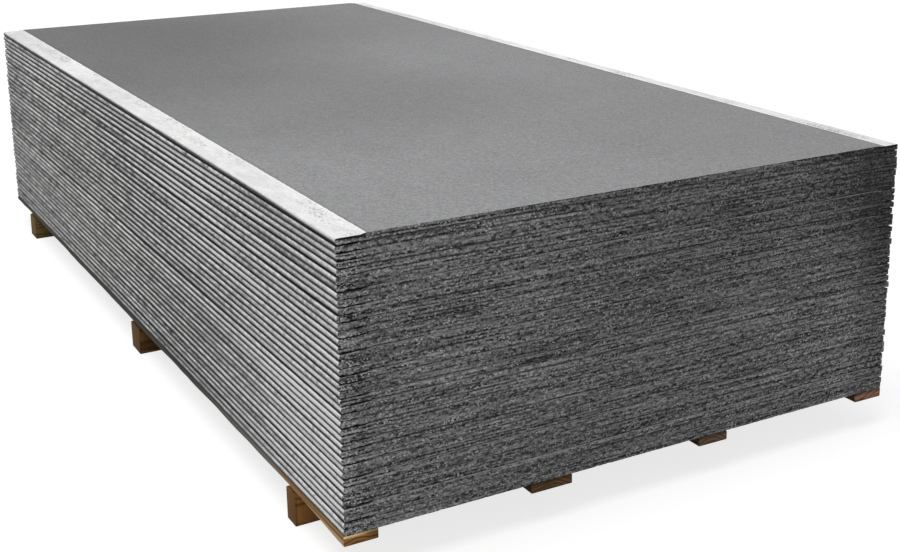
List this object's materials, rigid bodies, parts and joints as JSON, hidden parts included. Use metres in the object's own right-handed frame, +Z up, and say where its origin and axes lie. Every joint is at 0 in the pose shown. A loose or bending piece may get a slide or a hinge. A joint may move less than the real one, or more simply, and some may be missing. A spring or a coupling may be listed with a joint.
{
  "type": "skid load of cement boards",
  "caption": "Flat stack of cement boards with tapered, wrapped long edges and sawn ends, carried on a timber skid of lengthwise slats over cross bearers.",
  "frame": {"origin": "on the floor, under the centre of the load's footprint", "axes": "+X lengthwise along the boards, towards the sawn end that overhangs the narrow bearer; +Y across the boards, from one wrapped long edge to the other; +Z up, out of the top board's face"},
  "size_m": [2.4414, 1.2216, 0.6027],
  "materials": {
    "board": "matte",
    "slat": "matte",
    "bearer": "matte"
  },
  "bodies": {
    "root": {"board_01": "board", "board_02": "board", "board_03": "board", "board_04": "board", "board_05": "board", "board_06": "board", "board_07": "board", "board_08": "board", "board_09": "board", "board_10": "board", "board_11": "board", "board_12": "board", "board_13": "board", "board_14": "board", "board_15": "board", "board_16": "board", "board_17": "board", "board_18": "board", "board_19": "board", "board_20": "board", "board_21": "board", "board_22": "board", "board_23": "board", "board_24": "board", "board_25": "board", "board_26": "board", "board_27": "board", "board_28": "board", "board_29": "board", "board_30": "board", "board_31": "board", "board_32": "board", "board_33": "board", "board_34": "board", "board_35": "board", "board_36": "board", "board_37": "board", "board_38": "board", "board_39": "board", "board_40": "board", "slat_outer_left": "slat", "slat_inner_left": "slat", "slat_inner_right": "slat", "slat_outer_right": "slat", "bearer_front": "bearer", "bearer_middle": "bearer", "bearer_back": "bearer"}
  },
  "joints": []
}
